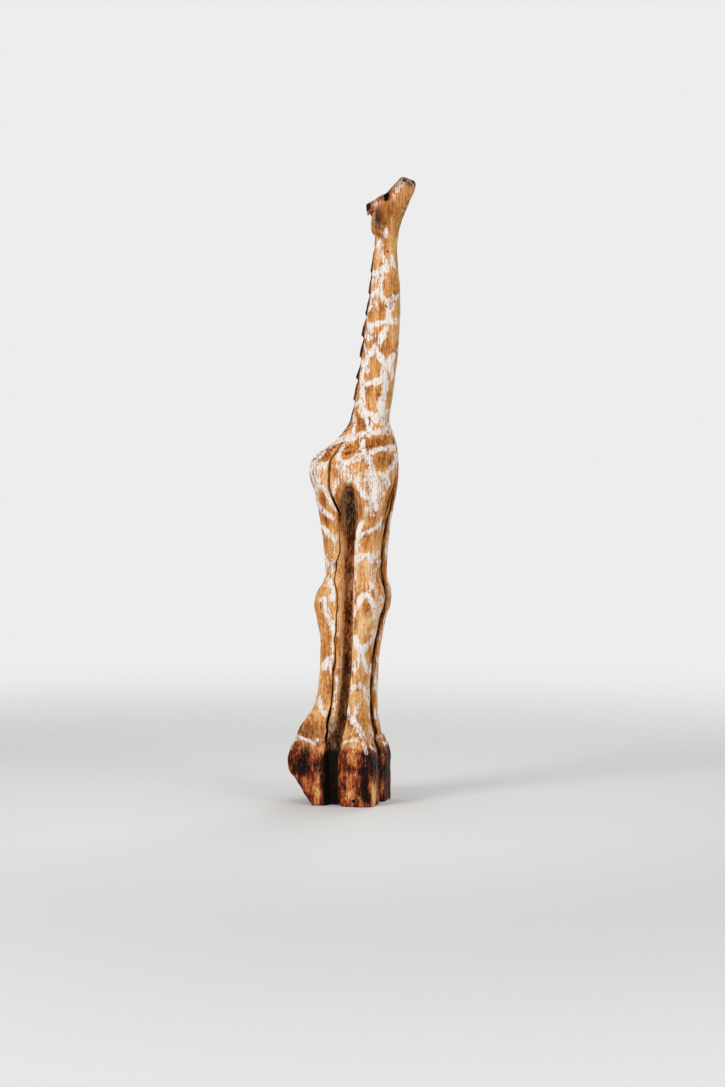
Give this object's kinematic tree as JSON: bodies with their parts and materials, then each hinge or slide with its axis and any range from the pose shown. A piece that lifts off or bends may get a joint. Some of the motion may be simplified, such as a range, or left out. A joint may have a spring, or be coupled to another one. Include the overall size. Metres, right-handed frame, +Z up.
{
  "type": "carved giraffe statue",
  "caption": "Standing giraffe carved from one upright timber, looking up, with a notched mane, painted net pattern and scorched block hooves on a flat sawn base.",
  "frame": {"origin": "on the ground, under the middle of the statue's bounding box", "axes": "+Z up along the timber, +X the way the giraffe faces, so its right side is towards -Y"},
  "size_m": [0.2601, 0.1624, 1.3],
  "materials": {
    "carved_wood": "gouge-carved softwood, oiled honey brown, with brushed whitewash lines",
    "stained_mane": "carved softwood stained dark maroon brown",
    "horn_wood": "carved softwood, red-brown stain, worn whitewash, black ends",
    "scorched_hoof": "sawn softwood, scorched and stained dark in streaks",
    "dark_recess": "rough softwood stained near black in the grooves between the legs"
  },
  "bodies": {
    "root": {"head": "carved_wood", "neck": "carved_wood", "torso": "carved_wood", "mane": "stained_mane", "tail": "stained_mane", "leg_web": "dark_recess", "right_horn": "horn_wood", "left_horn": "horn_wood", "right_ear": "carved_wood", "left_ear": "carved_wood", "front_right_leg": "carved_wood", "front_left_leg": "carved_wood", "hind_right_leg": "carved_wood", "hind_left_leg": "carved_wood", "front_right_hoof": "scorched_hoof", "front_left_hoof": "scorched_hoof", "hind_right_hoof": "scorched_hoof", "hind_left_hoof": "scorched_hoof"}
  },
  "joints": []
}
